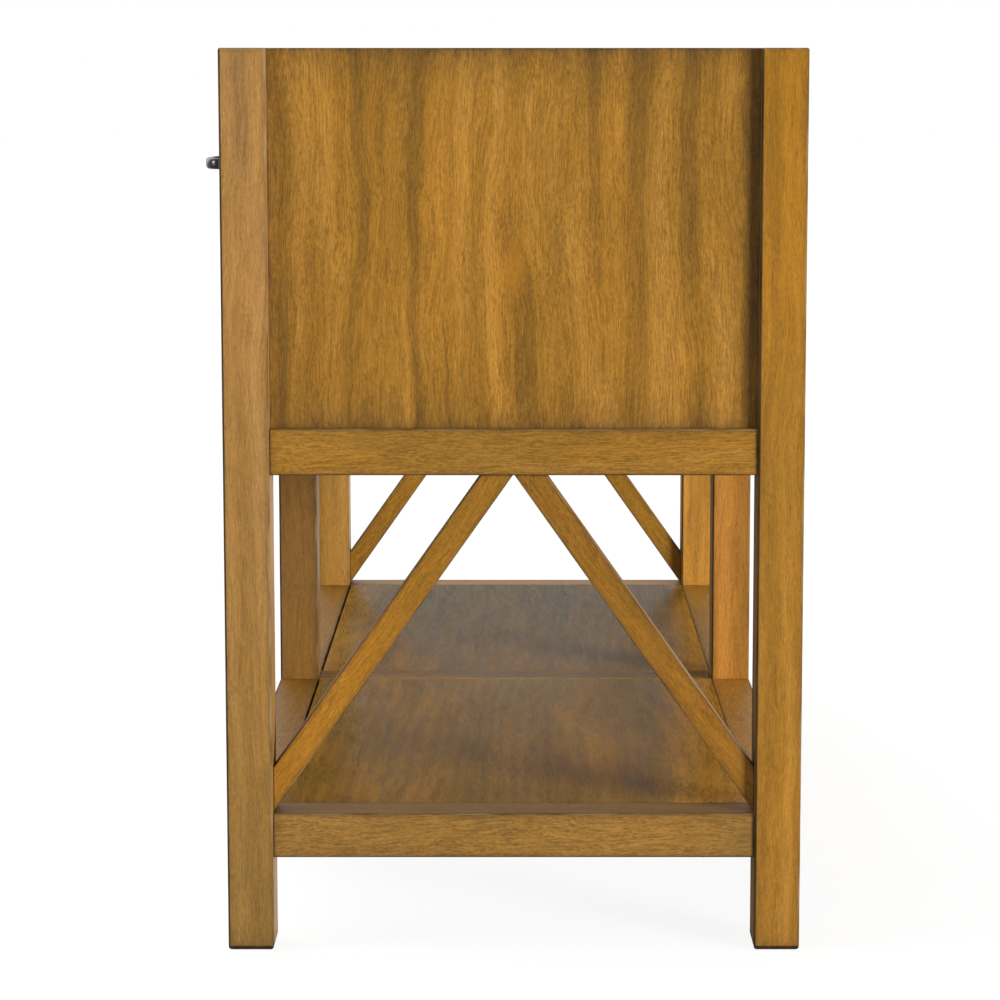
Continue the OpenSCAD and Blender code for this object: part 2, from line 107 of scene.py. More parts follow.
# How far at random a log's heart lies aside of its board, in depth and along it, and how strong a stain is
HEART_ASIDE = 0.08
HEART_DEPTH = (0.05, 0.12)
HEART_ALONG = 30
STAIN_RANGE = (0.88, 1.06)


# Node helpers for the materials
def put(tree, kind, inputs=None, **settings):
    """Adds a shader node, and sets or links its inputs by their names or numbers."""
    made = tree.nodes.new("ShaderNode" + kind)
    for name, value in settings.items():
        setattr(made, name, value)
    for name, value in (inputs or {}).items():
        if isinstance(value, bpy.types.NodeSocket):
            tree.links.new(value, made.inputs[name])
        else:
            made.inputs[name].default_value = value
    return made


def calc(tree, operation, *values):
    return put(tree, "Math", dict(enumerate(values)), operation=operation).outputs[0]


def combine(tree, operation, *vectors):
    return put(tree, "VectorMath", dict(enumerate(vectors)), operation=operation).outputs[0]


def part_of(tree, vector, axis):
    return put(tree, "SeparateXYZ", {0: vector}).outputs[axis]


def stretched(tree, vector, scale):
    return put(tree, "Mapping", {"Vector": vector, "Scale": scale}).outputs[0]


def noise(tree, vector, detail=2.0, roughness=0.5, colour=False):
    made = put(tree, "TexNoise", {"Vector": vector, "Scale": 1.0, "Detail": detail, "Roughness": roughness})
    return made.outputs[1 if colour else 0]


def from_middle(tree, value):
    return calc(tree, "SUBTRACT", value, 0.5)


def remap(tree, value, low, high, to_low=0.0, to_high=1.0):
    inputs = {"Value": value, "From Min": low, "From Max": high, "To Min": to_low, "To Max": to_high}
    return put(tree, "MapRange", inputs).outputs[0]


def tint(tree, amount, first, second):
    return put(tree, "Mix", {0: amount, 6: first, 7: second}, data_type="RGBA").outputs[2]


def lit(tree, colour, factor):
    return put(tree, "VectorMath", {0: colour, "Scale": factor}, operation="SCALE").outputs[0]


def opaque(colour):
    return (*colour, 1.0)


def halfway(first, second):
    """The colour half way between two."""
    return tuple((a + b) / 2 for a, b in zip(first, second))


def stored(tree, name, output="Vector"):
    """What the board carries under one name."""
    return put(tree, "Attribute", attribute_name=name).outputs[output]


def object_place(tree):
    return put(tree, "TexCoord").outputs["Object"]


def bare_material(name, **sockets):
    """A material with one principled surface, whose constant sockets are set."""
    material = bpy.data.materials.new(name)
    material.use_nodes = True
    surface = material.node_tree.nodes["Principled BSDF"]
    for socket, value in sockets.items():
        surface.inputs[socket.replace("_", " ")].default_value = value
    return material, material.node_tree, surface


def raise_surface(tree, surface, height, depth, strength):
    bump = put(tree, "Bump", {"Height": height, "Distance": depth, "Strength": strength})
    tree.links.new(bump.outputs[0], surface.inputs["Normal"])


# Colours: dark, middle and light stain of each timber, the patches and glaze on them, and the painted shade,
# highlights and reflections
OAK = ((0.189, 0.092, 0.0126), (0.286, 0.135, 0.0165), (0.386, 0.1875, 0.0298))
# The same oak, darkened as painted shade for the shelf under the case
SHADED_SHELF_OAK = [tuple(0.8 * value for value in colour) for colour in OAK]
MAPLE = ((0.50, 0.33, 0.16), (0.58, 0.40, 0.20), (0.66, 0.47, 0.26))
BIRCH = ((0.55, 0.39, 0.21), (0.62, 0.45, 0.25), (0.69, 0.52, 0.31))
# A dark colour for the glaze, the pores, and the painted shade along edges and joints
GLAZE_AND_SHADE = (0.05, 0.034, 0.018)
MAPLE_GLAZE = (0.26, 0.16, 0.07)
BIRCH_GLAZE = (0.30, 0.19, 0.09)
OLIVE = (0.22, 0.135, 0.03)
HONEY = (0.46, 0.19, 0.016)
# Pale colour for worn arrises and for the painted highlight on them
RUBBED_AND_LIT = (0.4, 0.28, 0.14)
# Painted reflection, light and shade on the shelf
WARM_REFLECTION = (0.53, 0.255, 0.036)
PALE_PAINTED_LIGHT = (0.8, 0.4, 0.056)
DEEP_PAINTED_SHADE = (0.1, 0.06, 0.01)

# Powder coat: its surface, dark and light colour, scales of its ripple and its clouds, and the ripple's depth
COAT = {"Roughness": 0.5, "Specular_IOR_Level": 0.0, "Coat_Weight": 0.55, "Coat_Roughness": 0.12}
BLACKS = ((0.0015, 0.003, 0.0026), (0.003, 0.006, 0.005))
RIPPLE = 900.0
CLOUDS = 60.0
RIPPLE_DEPTH = 0.00004

# Zinc: clean and dull colour, its rolling marks with the roughness that they vary, its wear and its spangle
ZINC = ((0.62, 0.63, 0.64), (0.45, 0.46, 0.48))
ROLLED = {"scale": (1400.0, 14.0, 1400.0), "rough": 0.32, "vary": 0.3, "depth": 0.00003}
WORN = {"scale": (30.0, 12.0, 30.0), "share": 0.5}
SPANGLE = {"scale": 160.0, "share": 0.06}

# A timber finish, where its material doesn't say otherwise
FINISH = {
    # Scales of the bands across and along the grain, and how far their dark and light stain lie apart
    "bands": (37.0, 1.1), "spread": 0.17,
    # How deep the rings, figure, streaks, fibres and mottling are, and how dark the pores
    "ring": 0.06, "figure": 0.3, "streak": 0.3, "fibre": 0.68, "mottle": 0.1, "pore": 0.15,
    # The rings' spacing in metres, and how long the figure and the streaks run
    "ring_space": 0.007, "run": 1.0,
    # Strength of the cool and warm patches, of the arrises made pale by wear and painted highlight, and of
    # the painted shade on faces that look down or forwards
    "patch": 0.25, "rub": 0.35, "dim": 0.0,
    # The glaze's colour, its dark line along the edges, its soak in from them and that one's reach, the line
    # and the soak partly glaze and partly painted shade, and the darkening towards a foot
    "glaze": GLAZE_AND_SHADE, "line": 1.0, "soak": (0.25, 0.005), "foot": 0.0,
    # Roughness and mirror of the varnish, and the relief in metres
    "rough": 0.42, "level": 0.16, "relief": 0.0001,
    # Whether it has the panel's pin knot and the shelf's painted reflections, light and shade
    "knot": False, "sides": False,
}

# Noise in the timber: scales across and along the grain, detail, what it rises between, and from what to what
LAYERS = {
    "cool_patches": (14.0, 3.6, 2.0, (0.48, 0.66), (0.0, 1.0)),
    "warm_patches": (17.0, 4.2, 2.0, (0.5, 0.68), (0.0, 1.0)),
    "long_fibres": (1000.0, 22.0, 1.0, (0.36, 0.64), (0.0, 1.0)),
    "short_fibres": (850.0, 230.0, 1.0, (0.36, 0.64), (0.0, 1.0)),
    "pores": (1000.0, 130.0, 1.0, (0.58, 0.7), (0.0, 1.0)),
    "patchy_glaze_and_shade": (60.0, 14.0, 2.0, (0.3, 0.65), (0.55, 1.0)),
    "ragged_glaze_and_shade": (240.0, 90.0, 2.0, (0.3, 0.7), (0.6, 1.2)),
    "worn_and_lit_arrises": (90.0, 22.0, 2.0, (0.42, 0.62), (0.0, 1.0)),
}

# Scales across and along the grain of the figure, the streaks, the mottling and the drift of the shelf's
# painted reflections and light
FIGURE = (80.0, 4.0)
STREAKS = (230.0, 12.0)
MOTTLING = (60.0, 30.0)
PAINTED_LIGHT_DRIFT = (12.0, 5.0)

# The grain's slow sway and small wander: the scale of each, and how far it reaches in metres
SWAY = (((7.0, 7.0, 2.4), 0.055), ((26.0, 26.0, 13.0), 0.012))

# The growth rings: how the log leans, how long they run, their texture's period, and how they waver
LOG_LEAN = (0.025, 0.012, 0.0)
RING_STRETCH = (1.0, 1.0, 0.06)
WAVE_PERIOD = 0.314
RING_WAVER = {"Distortion": 5.0, "Detail": 2.0, "Detail Scale": 0.35}

# The glaze and painted shade along the edges: reach of its line and of the darkening at a foot in metres,
# what end grain adds, and the most there is
LINE_REACH = 0.0013
FOOT_REACH = 0.008
END_GLAZE = 0.35
MOST_GLAZE = 0.88

# How much short fibres break up long ones, and what streaks, pores, and the glaze and painted shade add to
# the roughness
SHORT_SHARE = 0.42
STREAK_ROUGH = 0.25
PORE_ROUGH = 0.1
DULL_ROUGH = 0.5

# The panel's pin knot: place, shape, and for its ring and its core the full radius, the end and the strength
KNOT = {"place": (0.0, 0.0165, 0.658), "shape": (0.0, 1.0, 0.45), "ring": (0.003, 0.014, 0.4),
        "core": (0.0006, 0.0017, 0.8)}

# Painted light and shade at the shelf's front, a warm reflection and a deep shade: where each sets in across
# it and along the cabinet, its strength and its colour
FRONT_PAINTED_LIGHT = (
    ((0.7, 0.9), (0.1, -0.2), 0.4, WARM_REFLECTION),
    ((0.5, 0.8), (0.15, 0.45), 0.45, DEEP_PAINTED_SHADE),
)

# The painted warm reflection at its back, whose border fans out and wanders, and where along the cabinet it
# turns to pale painted light
BACK_PAINTED_REFLECTION = {"across": (-0.73, -0.91), "strength": 0.9, "fan": -0.267, "wander": 0.3, "pale": (0.42, 0.56)}


# Stained timber, on the grain that each board carries
def grained(tree, vector, scales, detail=2.0, roughness=0.5):
    """Noise with one scale across the grain and another along it."""
    across, along = scales
    return noise(tree, stretched(tree, vector, (across, across, along)), detail, roughness)


def layer(tree, vector, name, strength=1.0):
    """One of the timber's named layers of noise."""
    across, along, detail, (start, full), (low, high) = LAYERS[name]
    value = grained(tree, vector, (across, along), detail)
    return remap(tree, value, start, full, low * strength, high * strength)


def timber_points(tree):
    """The point in its log, and the same with a slow sway and a small wander across the grain."""
    grain = combine(tree, "ADD", stored(tree, "spot"), stored(tree, "log"))
    bent = grain
    for scale, reach in SWAY:
        drift = noise(tree, stretched(tree, grain, scale), colour=True)
        bent = combine(tree, "MULTIPLY_ADD", drift, (reach, reach, 0.0), bent)
    return grain, bent


def banded_colour(tree, value, colours, spread):
    """Dark, middle and light stain along one value."""
    ramp = put(tree, "ValToRGB", {"Fac": value})
    ramp.color_ramp.interpolation = "EASE"
    stops = ramp.color_ramp.elements
    stops.new(0.5)
    for stop, place, colour in zip(stops, (0.5 - spread, 0.5, 0.5 + spread), colours):
        stop.position = place
        stop.color = opaque(colour)
    return ramp.outputs[0]


def stained_bands(tree, grain, bent, colours, finish):
    """Bands of the timber's colours with cooler and warmer patches, under the board's own stain and painted
    light and shade.
    """
    bands = grained(tree, bent, finish["bands"], 2.0, 0.45)
    colour = banded_colour(tree, bands, colours, finish["spread"])
    cool = layer(tree, grain, "cool_patches", finish["patch"])
    colour = tint(tree, cool, colour, opaque(halfway(colours[0], OLIVE)))
    warm = layer(tree, bent, "warm_patches", finish["patch"])
    colour = tint(tree, warm, colour, opaque(halfway(colours[2], HONEY)))
    return combine(tree, "MULTIPLY", colour, stored(tree, "stain"))


def growth_rings(tree, bent, spacing):
    """Rings round the heart of the log, which run out into arches along a flat face."""
    leaning = put(tree, "Mapping", {"Vector": bent, "Rotation": LOG_LEAN}).outputs[0]
    inputs = {"Vector": stretched(tree, leaning, RING_STRETCH), "Scale": WAVE_PERIOD / spacing, **RING_WAVER}
    return put(tree, "TexWave", inputs, wave_type="RINGS", rings_direction="Z").outputs["Fac"]


def timber_fibres(tree, bent):
    """Long fibres, broken up by short ones."""
    long_fibres = layer(tree, bent, "long_fibres")
    apart = calc(tree, "SUBTRACT", layer(tree, bent, "short_fibres"), long_fibres)
    return calc(tree, "MULTIPLY_ADD", apart, SHORT_SHARE, long_fibres)


def timber_shade(tree, bent, streaks, fibres, finish):
    """How much lighter or darker the layers of the grain make the stain."""
    layers = {
        "ring": growth_rings(tree, bent, finish["ring_space"]),
        "figure": grained(tree, bent, (FIGURE[0], FIGURE[1] / finish["run"])),
        "streak": streaks,
        "fibre": fibres,
        "mottle": grained(tree, bent, MOTTLING, 4.0, 0.65),
    }
    shade = 1.0
    for name, value in layers.items():
        shade = calc(tree, "MULTIPLY_ADD", from_middle(tree, value), finish[name], shade)
    return shade


def painted_shelf_light(tree, grain, colour):
    """The shelf's painted warm reflection and deep shade along its front, and its painted warm reflection
    along its back, turning to pale painted light.
    """
    across = combine(tree, "DIVIDE", stored(tree, "spot"), stored(tree, "half"))
    drift = from_middle(tree, grained(tree, grain, PAINTED_LIGHT_DRIFT))
    place = calc(tree, "MULTIPLY_ADD", drift, BACK_PAINTED_REFLECTION["wander"], part_of(tree, across, "Y"))
    along = part_of(tree, object_place(tree), "X")
    for (start, full), (from_x, to_x), strength, stain in FRONT_PAINTED_LIGHT:
        share = remap(tree, along, from_x, to_x, 0.0, strength)
        amount = calc(tree, "MULTIPLY", remap(tree, place, start, full), share)
        colour = tint(tree, amount, colour, opaque(stain))
    fanned = calc(tree, "MULTIPLY_ADD", along, BACK_PAINTED_REFLECTION["fan"], place)
    amount = remap(tree, fanned, *BACK_PAINTED_REFLECTION["across"], 0.0, BACK_PAINTED_REFLECTION["strength"])
    warm = tint(tree, remap(tree, along, *BACK_PAINTED_REFLECTION["pale"]), opaque(WARM_REFLECTION), opaque(PALE_PAINTED_LIGHT))
    return tint(tree, amount, colour, warm)


def knotted(tree, colour, glaze):
    """A pin knot at one place on the panel, with a warmer ring round it."""
    shift = [-value for value in KNOT["place"]]
    centred = put(tree, "Mapping", {"Vector": object_place(tree), "Location": shift}).outputs[0]
    drawn = stretched(tree, centred, KNOT["shape"])
    reach = put(tree, "VectorMath", {0: drawn}, operation="LENGTH").outputs["Value"]
    for part, stain in (("ring", HONEY), ("core", halfway(glaze, HONEY))):
        full, end, strength = KNOT[part]
        colour = tint(tree, remap(tree, reach, full, end, strength, 0.0), colour, opaque(stain))
    return colour


def edge_distance(tree):
    """How far a point on a face is from its board's nearest edge: the middle one of its three depths."""
    depth = combine(tree, "SUBTRACT", stored(tree, "half"), combine(tree, "ABSOLUTE", stored(tree, "spot")))
    first, second, third = put(tree, "SeparateXYZ", {0: depth}).outputs
    inner = calc(tree, "MINIMUM", calc(tree, "MAXIMUM", first, second), third)
    return calc(tree, "MAXIMUM", calc(tree, "MINIMUM", first, second), inner)


def fading(tree, distance, start, reach):
    """Falls from a start value with the distance."""
    falling = calc(tree, "EXPONENT", calc(tree, "MULTIPLY", distance, -1.0 / reach))
    return calc(tree, "MULTIPLY", falling, start)


def glaze_and_edge_shade(tree, grain, finish):
    """How dark the edges grow, thicker in places: glaze and painted shade along the edges and soaking in from
    them, glaze on end grain, and darker towards a foot.
    """
    distance = edge_distance(tree)
    ragged = layer(tree, grain, "ragged_glaze_and_shade")
    # The dark line along the edges and its soak inwards: glaze, and painted shade at joints, recesses and
    # arrises turned from the light
    narrow = fading(tree, distance, finish["line"], LINE_REACH)
    wide = calc(tree, "MULTIPLY", fading(tree, distance, *finish["soak"]), ragged)
    amount = calc(tree, "MULTIPLY", calc(tree, "ADD", narrow, wide), layer(tree, grain, "patchy_glaze_and_shade"))
    amount = calc(tree, "ADD", amount, calc(tree, "MULTIPLY", stored(tree, "end_grain", "Fac"), END_GLAZE))
    # Darker towards the foot
    if finish["foot"]:
        rise = part_of(tree, combine(tree, "ADD", stored(tree, "spot"), stored(tree, "half")), "Z")
        risen = calc(tree, "MULTIPLY", fading(tree, rise, finish["foot"], FOOT_REACH), ragged)
        amount = calc(tree, "ADD", amount, risen)
    return calc(tree, "MINIMUM", amount, MOST_GLAZE)


def rubbed_arris(tree, grain, colour, rub):
    """Rounded edges made pale here and there, as wear and as painted highlight."""
    worn = calc(tree, "MULTIPLY", stored(tree, "arris", "Fac"), layer(tree, grain, "worn_and_lit_arrises", rub))
    return tint(tree, worn, colour, opaque(RUBBED_AND_LIT))


def timber_roughness(tree, streaks, holes, dull, rough):
    """Rougher along the streaks, in the pores, and under the glaze and the painted shade."""
    rough = calc(tree, "MULTIPLY_ADD", from_middle(tree, streaks), STREAK_ROUGH, rough)
    rough = calc(tree, "MULTIPLY_ADD", holes, PORE_ROUGH, rough)
    rough = calc(tree, "MULTIPLY_ADD", dull, DULL_ROUGH, rough)
    return calc(tree, "MINIMUM", rough, 1.0)


def make_wood(name, colours, **changes):
    """Stained timber with bands, rings, fibres and pores, edges darkened by glaze and painted shade, and
    painted shade, darker and duller, where a face looks down or forwards.
    """
    finish = {**FINISH, **changes}
    glaze = finish["glaze"]
    material, tree, surface = bare_material(name, Specular_IOR_Level=finish["level"])
    grain, bent = timber_points(tree)
    colour = stained_bands(tree, grain, bent, colours, finish)
    # Painted reflections, light and shade on the shelf
    if finish["sides"]:
        colour = painted_shelf_light(tree, grain, colour)
    streaks = grained(tree, bent, (STREAKS[0], STREAKS[1] / finish["run"]))
    fibres = timber_fibres(tree, bent)
    colour = lit(tree, colour, timber_shade(tree, bent, streaks, fibres, finish))
    holes = layer(tree, bent, "pores")
    colour = tint(tree, calc(tree, "MULTIPLY", holes, finish["pore"]), colour, opaque(glaze))
    if finish["knot"]:
        colour = knotted(tree, colour, glaze)
    # Glaze along the edges, partly painted shade at joints and arrises
    glaze_and_shade = glaze_and_edge_shade(tree, grain, finish)
    colour = tint(tree, glaze_and_shade, colour, opaque(glaze))
    # Arrises made pale, as wear and as painted highlight
    if finish["rub"]:
        colour = rubbed_arris(tree, grain, colour, finish["rub"])
    # Painted shade: faces that look down or forwards are made darker and duller
    shaded_side = stored(tree, "shaded_side", "Fac")
    colour = lit(tree, colour, calc(tree, "MULTIPLY_ADD", shaded_side, -finish["dim"], 1.0))
    tree.links.new(colour, surface.inputs["Base Color"])
    dull = calc(tree, "MULTIPLY_ADD", shaded_side, finish["dim"], glaze_and_shade)
    rough = timber_roughness(tree, streaks, holes, dull, finish["rough"])
    tree.links.new(rough, surface.inputs["Roughness"])
    height = calc(tree, "MULTIPLY_ADD", holes, -1.0, calc(tree, "MULTIPLY", fibres, 0.5))
    raise_surface(tree, surface, height, finish["relief"], 0.5)
    return material


# Metals
def make_black():
    """Black powder coat, with a slight ripple and a clear gloss."""
    material, tree, surface = bare_material("pull_black", **COAT)
    place = object_place(tree)
    ripple = noise(tree, stretched(tree, place, [RIPPLE] * 3))
    cloud = noise(tree, stretched(tree, place, [CLOUDS] * 3))
    dark, light = BLACKS
    colour = tint(tree, remap(tree, cloud, 0.35, 0.65), opaque(dark), opaque(light))
    tree.links.new(colour, surface.inputs["Base Color"])
    raise_surface(tree, surface, ripple, RIPPLE_DEPTH, 0.5)
    return material


def make_zinc():
    """Zinc-plated steel, rolled along y, with a faint spangle."""
    material, tree, surface = bare_material("slide_zinc", Metallic=1.0)
    place = object_place(tree)
    rolled = noise(tree, stretched(tree, place, ROLLED["scale"]))
    spangle = put(tree, "TexVoronoi", {"Vector": place, "Scale": SPANGLE["scale"]}).outputs["Color"]
    worn = noise(tree, stretched(tree, place, WORN["scale"]), 3.0)
    clean, dull = ZINC
    colour = tint(tree, remap(tree, worn, 0.35, 0.7, 0.0, WORN["share"]), opaque(clean), opaque(dull))
    colour = tint(tree, SPANGLE["share"], colour, spangle)
    tree.links.new(colour, surface.inputs["Base Color"])
    rough = calc(tree, "MULTIPLY_ADD", from_middle(tree, rolled), -ROLLED["vary"], ROLLED["rough"])
    tree.links.new(rough, surface.inputs["Roughness"])
    raise_surface(tree, surface, rolled, ROLLED["depth"], 0.6)
    return material


MATERIALS = {
    "leg": make_wood("leg_oak", OAK, bands=(42.0, 0.5), spread=0.32, figure=0.22, streak=0.4, fibre=0.44,
                     run=3.0, foot=0.6, dim=0.72),
    "panel": make_wood("panel_oak", OAK, streak=0.24, line=0.6, soak=(0.7, 0.02), knot=True),
    "rail": make_wood("rail_oak", OAK, bands=(42.0, 2.2), spread=0.6, figure=0.08, streak=0.16, fibre=0.76,
                      dim=0.65),
    "brace": make_wood("brace_oak", OAK, bands=(42.0, 2.2), spread=0.4, figure=0.16, streak=0.4, fibre=0.7,
                       line=0.8, dim=0.5),
    "front": make_wood("front_oak", OAK, soak=(0.25, 0.009)),
    "shelf": make_wood("shelf_oak", SHADED_SHELF_OAK, bands=(9.0, 2.0), spread=0.3, ring=0.18, figure=0.1, fibre=0.9,
                       pore=0.12, mottle=0.7, rough=0.28, level=0.02, ring_space=0.016, line=0.0,
                       soak=(0.0, 0.02), patch=0.55, rub=0.0, relief=0.00002, sides=True),
    "box": make_wood("box_maple", MAPLE, bands=(24.0, 1.4), spread=0.3, figure=0.08, streak=0.12, fibre=0.14,
                     pore=0.1, rough=0.5, level=0.25, glaze=MAPLE_GLAZE, line=0.3, soak=(0.1, 0.004),
                     patch=0.0, rub=0.0),
    "ply": make_wood("birch_ply", BIRCH, bands=(12.0, 1.0), spread=0.3, figure=0.1, streak=0.12, fibre=0.14,
                     pore=0.1, rough=0.55, level=0.25, glaze=BIRCH_GLAZE, line=0.3, soak=(0.1, 0.004),
                     patch=0.0, rub=0.0),
    "black": make_black(),
    "zinc": make_zinc(),
}


# Reading the CAD nodes
def solid_points(first, seen):
    """The corners of the solid that one corner belongs to."""
    seen.add(first)
    waiting = [first]
    points = []
    while waiting:
        vert = waiting.pop()
        points.append(vert.co.copy())
        for edge in vert.link_edges:
            other = edge.other_vert(vert)
            if other not in seen:
                seen.add(other)
                waiting.append(other)
    return points


def boards_in(node):
    """The boxes of the separate solids in a CAD node, in a fixed order."""
    shape = bmesh.new()
    shape.from_mesh(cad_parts[node].data)
    bmesh.ops.remove_doubles(shape, verts=shape.verts, dist=TOUCH)
    seen = set()
    boxes = []
    for first in shape.verts:
        if first not in seen:
            points = solid_points(first, seen)
            low = Vector([min(values) for values in zip(*points)])
            high = Vector([max(values) for values in zip(*points)])
            boxes.append((low, high))
    shape.free()
    return sorted(boxes, key=lambda box: [round(value, 4) for value in (*box[0], *box[1])])


def shortened(box, axis, length):
    """A box without what is let into its neighbours at its two ends."""
    low, high = box[0].copy(), box[1].copy()
    low[axis] += length
    high[axis] -= length
    return low, high


# The stain's strength in red, green and blue, all along or at the two ends, where the side view shows a
# board: partly each board's own tone, partly painted light and shade, such as a post darkened as if shaded,
# rails under the case lightened, and a leg lighter towards its top
STAINS_AND_PAINTED_LIGHT = {
    "leg_front_right": ((0.8, 0.9, 1.6), (1.27, 1.35, 3)),
    "leg_back_right": ((1.12, 1.09, 1.17), (1.1, 1.05, 0.8)),
    "upper_side_rail_right": ((0.91, 0.92, 1.02),),
    "lower_side_rail_right": ((0.85, 0.92, 1.63),),
    "brace_front_right": ((1.06, 0.97, 0.77), (0.97, 0.92, 0.77)),
    "brace_back_right": ((0.92, 0.84, 0.78), (0.84, 0.8, 0.78)),
    "leg_front_centre": ((0.67, 0.69, 1.21),),
    "leg_back_centre": ((1.26, 1.15, 1.53),),
    "leg_front_left": ((1.17, 1.23, 1.92),),
    "leg_back_left": ((1.59, 1.56, 2.02),),
    "side_panel_right": ((0.95, 0.94, 0.97),),
    "shelf_back_rails0": ((1.3, 1.35, 1.5),),
    "shelf_back_rails1": ((1.85, 1.8, 2.2), (1.75, 1.7, 2.0)),
    "shelf_panel_left": ((0.45, 0.6, 0.93), (0.97, 1.03, 1.1)),
    "shelf_panel_right": ((1.17, 1.29, 1.25), (1.18, 1.22, 0.9)),
    "shelf_cross_rail": ((0.92, 1.0, 1.07),),
}

# Where the heart of the log lies from the middle of the boards whose figure the side view shows
HEARTS = {
    "side_panel_right": (0.0473, -0.0573, 0.046),
    "leg_front_right": (-0.0205, 0.0946, -6.415),
    "leg_back_right": (0.0412, -0.0597, 8.758),
    "upper_side_rail_right": (0.0093, 0.1022, -6.776),
    "lower_side_rail_right": (-0.0721, 0.0657, -22.527),
    "shelf_panel_right": (0.0289, -0.1013, -8.041),
    "shelf_panel_left": (0.0135, 0.1076, 16.246),
}


# Boards
def box_faces(low, high):
    """The faces of a box, each as its outward direction and its distance from the origin."""
    faces = []
    for axis, outward in enumerate((X, Y, Z)):
        faces.append((outward, high[axis]))
        faces.append((-outward, -low[axis]))
    return faces


def faces_at(point, faces):
    """The numbers of the faces that a point lies on."""
    return {number for number, (outward, reach) in enumerate(faces)
            if abs(outward.dot(point) - reach) < TOUCH}


def pick_edges(board, wanted):
    """Selects, in edit mode, the edges whose two ends pass a test."""
    bpy.ops.mesh.select_mode(type="EDGE")
    bpy.ops.mesh.select_all(action="DESELECT")
    shape = bmesh.from_edit_mesh(board.data)
    for edge in shape.edges:
        edge.select_set(wanted(edge.verts[0].co, edge.verts[1].co))
    bmesh.update_edit_mesh(board.data)


def just_added():
    """The object just added, with its place, turn and size moved into its mesh."""
    bpy.ops.object.transform_apply(location=True, rotation=True, scale=True)
    return bpy.context.active_object


def add_block(low, high):
    """A block from corner to corner."""
    bpy.ops.mesh.primitive_cube_add(size=1, location=(low + high) / 2, scale=high - low)
    return just_added()


def add_rod(middle, turn, radius, length, sides=32):
    """A round rod about its middle, turned from upright."""
    bpy.ops.mesh.primitive_cylinder_add(vertices=sides, radius=radius, depth=length, location=middle,
                                        rotation=turn)
    return just_added()


def ease_board(board, faces, arris, foot=0.0):
    """Rounds the arrises, and the foot's edges a little more."""
    bpy.ops.object.mode_set(mode="EDIT")
    if foot:
        pick_edges(board, lambda a, b: len(faces_at(a, faces) & faces_at(b, faces)) > 1 and a.z == b.z < foot)
        bpy.ops.mesh.bevel(offset=foot, segments=ROUND_STEPS, affect="EDGES")
    pick_edges(board, lambda a, b: len(faces_at(a, faces) & faces_at(b, faces)) > 1)
    bpy.ops.mesh.bevel(offset=arris, segments=ROUND_STEPS, affect="EDGES")
    bpy.ops.object.mode_set(mode="OBJECT")


def log_heart(chance, name):
    """Where the heart of the log lies from a board's middle."""
    aside = chance.uniform(-HEART_ASIDE, HEART_ASIDE)
    depth = chance.choice((-1, 1)) * chance.uniform(*HEART_DEPTH)
    along = chance.uniform(-HEART_ALONG, HEART_ALONG)
    return HEARTS.get(name, (aside, depth, along))


def end_stains_and_light(chance, name):
    """The stain's strength in red, green and blue at a board's two ends, with painted light and shade on the
    listed boards.
    """
    level = chance.uniform(*STAIN_RANGE)
    ends = STAINS_AND_PAINTED_LIGHT.get(name, ((level, level, level),))
    return numpy.array((ends[0], ends[-1]))


def looks_away(face):
    """Whether a face looks down, or looks forwards without being part of the front; such a face gets painted
    shade.
    """
    in_front = face.normal.y < -FACING and face.center.y < 0
    return face.normal.z < -TURNED or face.normal.y < -TURNED and not in_front


def store_vectors(mesh, name, vectors):
    """Stores a vector at each point, or the same one at all of them."""
    values = numpy.broadcast_to(vectors, (len(mesh.vertices), 3)).astype(numpy.float32)
    mesh.attributes.new(name, "FLOAT_VECTOR", "POINT").data.foreach_set("vector", values.ravel())


def store_marks(mesh, name, test):
    """Stores on each face whether it passes a test."""
    marks = [float(test(face)) for face in mesh.polygons]
    mesh.attributes.new(name, "FLOAT", "FACE").data.foreach_set("value", marks)


def lay_grain(board, faces, along, name):
    """Stores each point's place in its board and its log, its stain with any painted light and shade, and
    which faces are end grain, which are rounded and which get painted shade.
    """
    mesh = board.data
    chance = random.Random(name)
    across = along.cross(Y if abs(along.x) > FACING else X).normalized()
    axes = numpy.array([across, along.cross(across), along])
    spots = numpy.array([vert.co for vert in mesh.vertices]) @ axes.T
    low, high = spots.min(0), spots.max(0)
    spots -= (low + high) / 2
    half = (high - low) / 2
    store_vectors(mesh, "spot", spots)
    store_vectors(mesh, "half", half)
    store_vectors(mesh, "log", log_heart(chance, name))
    # Each board's stain, which for the listed boards holds painted light and shade
    first, last = end_stains_and_light(chance, name)
    share = (spots[:, 2:] + half[2]) / (2 * half[2])
    store_vectors(mesh, "stain", first + (last - first) * share)
    store_marks(mesh, "end_grain", lambda face: abs(face.normal.dot(along)) > END_ON)
    store_marks(mesh, "arris", lambda face: max(face.normal.dot(outward) for outward, reach in faces) < FLAT)
    store_marks(mesh, "shaded_side", looks_away)


def sawn_board(low, high, along, name, arris=BOARD_ARRIS, foot=0.0):
    """One finished board: a block with eased edges and its grain."""
    board = add_block(low, high)
    faces = box_faces(low, high)
    ease_board(board, faces, arris, foot)
    lay_grain(board, faces, along, name)
    return board


def saw_off(*faces):
    """Cuts the block just added at some of its faces, and closes each cut."""
    bpy.ops.object.mode_set(mode="EDIT")
    for outward, reach in faces:
        bpy.ops.mesh.select_all(action="SELECT")
        bpy.ops.mesh.bisect(plane_co=outward * reach, plane_no=outward, use_fill=True, clear_outer=True)
    bpy.ops.object.mode_set(mode="OBJECT")


